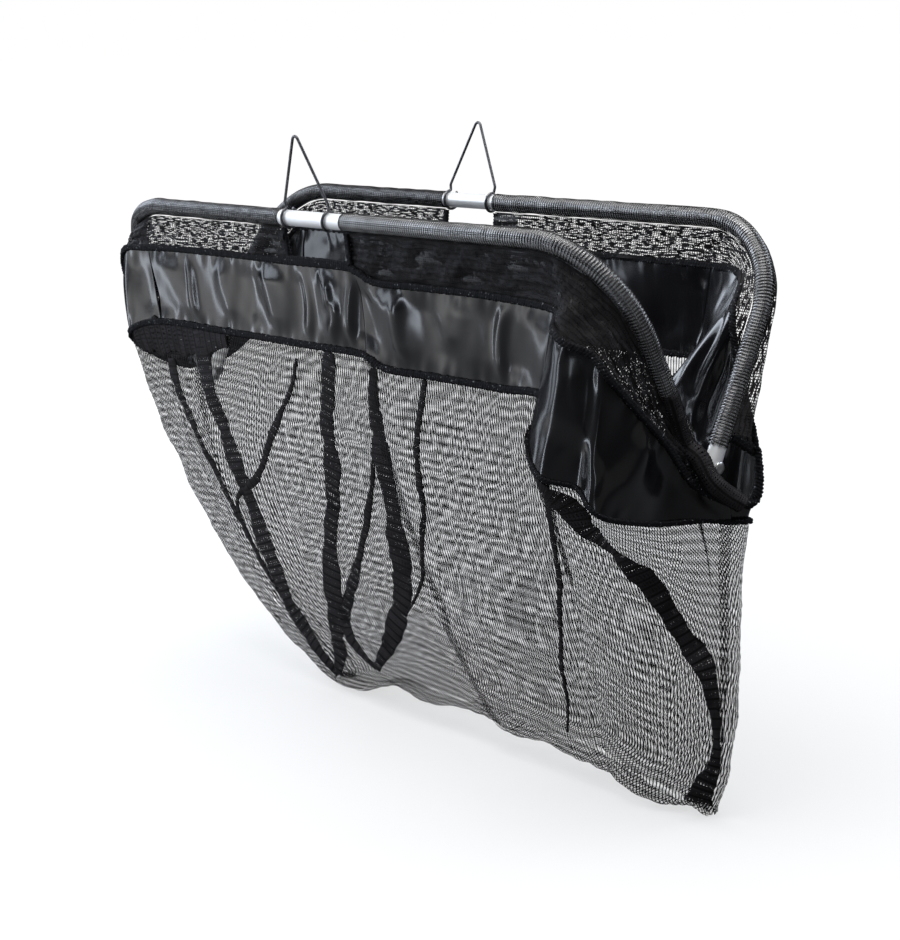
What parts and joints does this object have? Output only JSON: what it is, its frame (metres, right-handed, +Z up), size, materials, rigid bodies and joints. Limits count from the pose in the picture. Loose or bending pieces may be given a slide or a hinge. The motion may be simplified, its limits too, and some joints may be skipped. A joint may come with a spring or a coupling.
{
  "type": "weigh net",
  "caption": "Folding weigh net: two bent-tube half frames hinged at the ends, a mesh bag with a smooth band, and wire hangers for a scale's hook.",
  "frame": {"origin": "underside of the top bend of the rear hanger, where the net hangs on a scale's hook", "axes": "+X along the two bars and the hinge axis towards the right end, +Y from the front bar to the rear bar, +Z up"},
  "size_m": [0.6327, 0.2088, 0.4717],
  "materials": {
    "tube": "satin drawn tube",
    "wire": "dark drawn wire",
    "spacer": "black nylon",
    "band": "black vinyl",
    "netting": "fine knotless mesh",
    "sleeve": "mesh wound tight",
    "overlock": "overlocked thread"
  },
  "bodies": {
    "hinge": {"hinge_pin_left": "wire", "hinge_pin_right": "wire", "hinge_washer_left": "spacer", "hinge_washer_right": "spacer", "right_end_band": "band", "right_end_net": "netting", "right_end_top_seam": "overlock", "right_end_hem_seam": "overlock", "left_end_band": "band", "left_end_net": "netting", "left_end_top_seam": "overlock", "left_end_hem_seam": "overlock", "front_right_leg_strip": "netting", "rear_right_leg_strip": "netting", "rear_left_leg_strip": "netting", "front_left_leg_strip": "netting", "net_bottom": "netting", "left_notch_binding": "overlock", "right_notch_binding": "overlock"},
    "front_half": {"front_frame": "tube", "front_left_sleeve": "sleeve", "front_right_sleeve": "sleeve"},
    "rear_half": {"rear_frame": "tube", "rear_left_sleeve": "sleeve", "rear_right_sleeve": "sleeve"},
    "front_wall": {"front_left_strip": "netting", "front_right_strip": "netting", "front_band": "band", "front_net": "netting", "front_top_seam": "overlock", "front_hem_seam": "overlock", "front_notch_binding": "overlock"},
    "rear_wall": {"rear_left_strip": "netting", "rear_right_strip": "netting", "rear_band": "band", "rear_net": "netting", "rear_top_seam": "overlock", "rear_hem_seam": "overlock", "rear_notch_binding": "overlock"},
    "front_hanger_wire": {"front_hanger": "wire"},
    "rear_hanger_wire": {"rear_hanger": "wire"}
  },
  "joints": [
    {"name": "front_fold", "type": "hinge", "parent": "hinge", "child": "front_half", "pos_m": [0.015, -0.09278, -0.21742], "axis": [1, 0, 0], "range_deg": [-24.8, 62], "deforming": ["right_end_band", "right_end_net", "right_end_top_seam", "right_end_hem_seam", "left_end_band", "left_end_net", "left_end_top_seam", "left_end_hem_seam", "front_right_leg_strip", "rear_right_leg_strip", "rear_left_leg_strip", "front_left_leg_strip", "net_bottom", "left_notch_binding", "right_notch_binding"]},
    {"name": "rear_fold", "type": "hinge", "parent": "hinge", "child": "rear_half", "pos_m": [0.015, -0.09278, -0.21742], "axis": [1, 0, 0], "range_deg": [-62, 24.8]},
    {"name": "front_wall_swing", "type": "hinge", "parent": "front_half", "child": "front_wall", "pos_m": [0.015, -0.17588, -0.06114], "axis": [1, 0, 0], "range_deg": [-44.74, 17.96]},
    {"name": "rear_wall_swing", "type": "hinge", "parent": "rear_half", "child": "rear_wall", "pos_m": [0.015, -0.00968, -0.06114], "axis": [1, 0, 0], "range_deg": [-17.96, 44.74]},
    {"name": "front_hanger_swing", "type": "hinge", "parent": "front_half", "child": "front_hanger_wire", "pos_m": [0.015, -0.17588, -0.06114], "axis": [1, 0, 0], "range_deg": [-62, 24.8]},
    {"name": "rear_hanger_swing", "type": "hinge", "parent": "rear_half", "child": "rear_hanger_wire", "pos_m": [0.015, -0.00968, -0.06114], "axis": [1, 0, 0], "range_deg": [-24.8, 62]}
  ],
  "couplings": [
    {"joint": "rear_fold", "follows": "front_fold", "ratio": -1},
    {"joint": "front_wall_swing", "follows": "front_fold", "ratio": -0.72},
    {"joint": "rear_wall_swing", "follows": "front_fold", "ratio": 0.72},
    {"joint": "front_hanger_swing", "follows": "front_fold", "ratio": -1},
    {"joint": "rear_hanger_swing", "follows": "front_fold", "ratio": 1}
  ]
}
